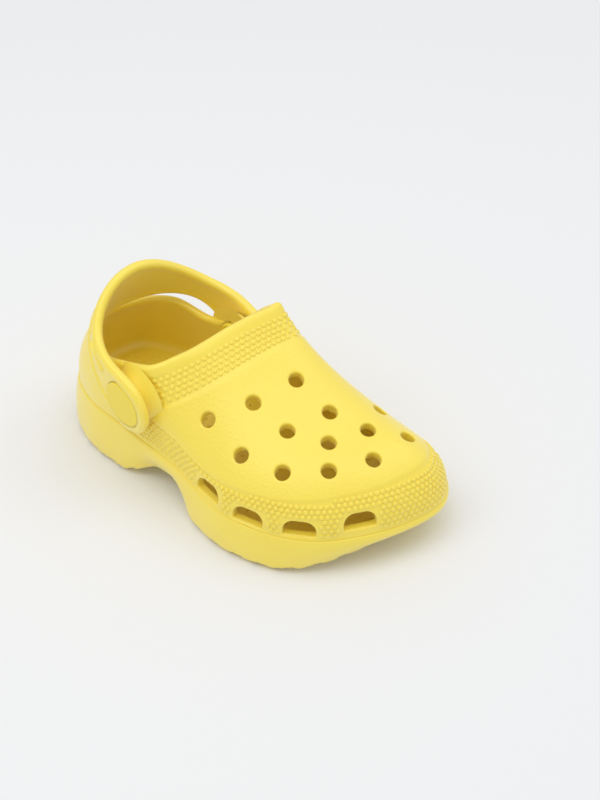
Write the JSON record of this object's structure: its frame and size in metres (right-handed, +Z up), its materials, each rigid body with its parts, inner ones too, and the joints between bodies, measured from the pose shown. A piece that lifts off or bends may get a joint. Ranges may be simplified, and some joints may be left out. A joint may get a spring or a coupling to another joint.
{
  "type": "moulded foam garden clog",
  "caption": "Child's slip-on foam clog with a ventilated closed toe, drain slots round the sole, and a swinging heel strap held by snap rivets.",
  "frame": {"origin": "on the ground, under the middle of the heel's tread", "axes": "+Z up; -Y towards the toe, +Y towards the heel; -X the outer (lateral) side and +X the inner (medial) side of a right foot"},
  "size_m": [0.0895, 0.1829, 0.0832],
  "materials": {
    "body_foam": "satin",
    "strap_foam": "satin",
    "rivet_plastic": "satin"
  },
  "bodies": {
    "clog": {"clog_body": "body_foam", "rivet_stud_lateral": "rivet_plastic", "rivet_stud_medial": "rivet_plastic", "rivet_socket_lateral": "rivet_plastic", "rivet_socket_medial": "rivet_plastic"},
    "strap": {"heel_strap": "strap_foam"}
  },
  "joints": [
    {"name": "strap_swing", "type": "hinge", "parent": "clog", "child": "strap", "pos_m": [0, -0.0296, 0.0453], "axis": [0.9903, -0.1392, 0], "range_deg": [-2, 47]}
  ]
}
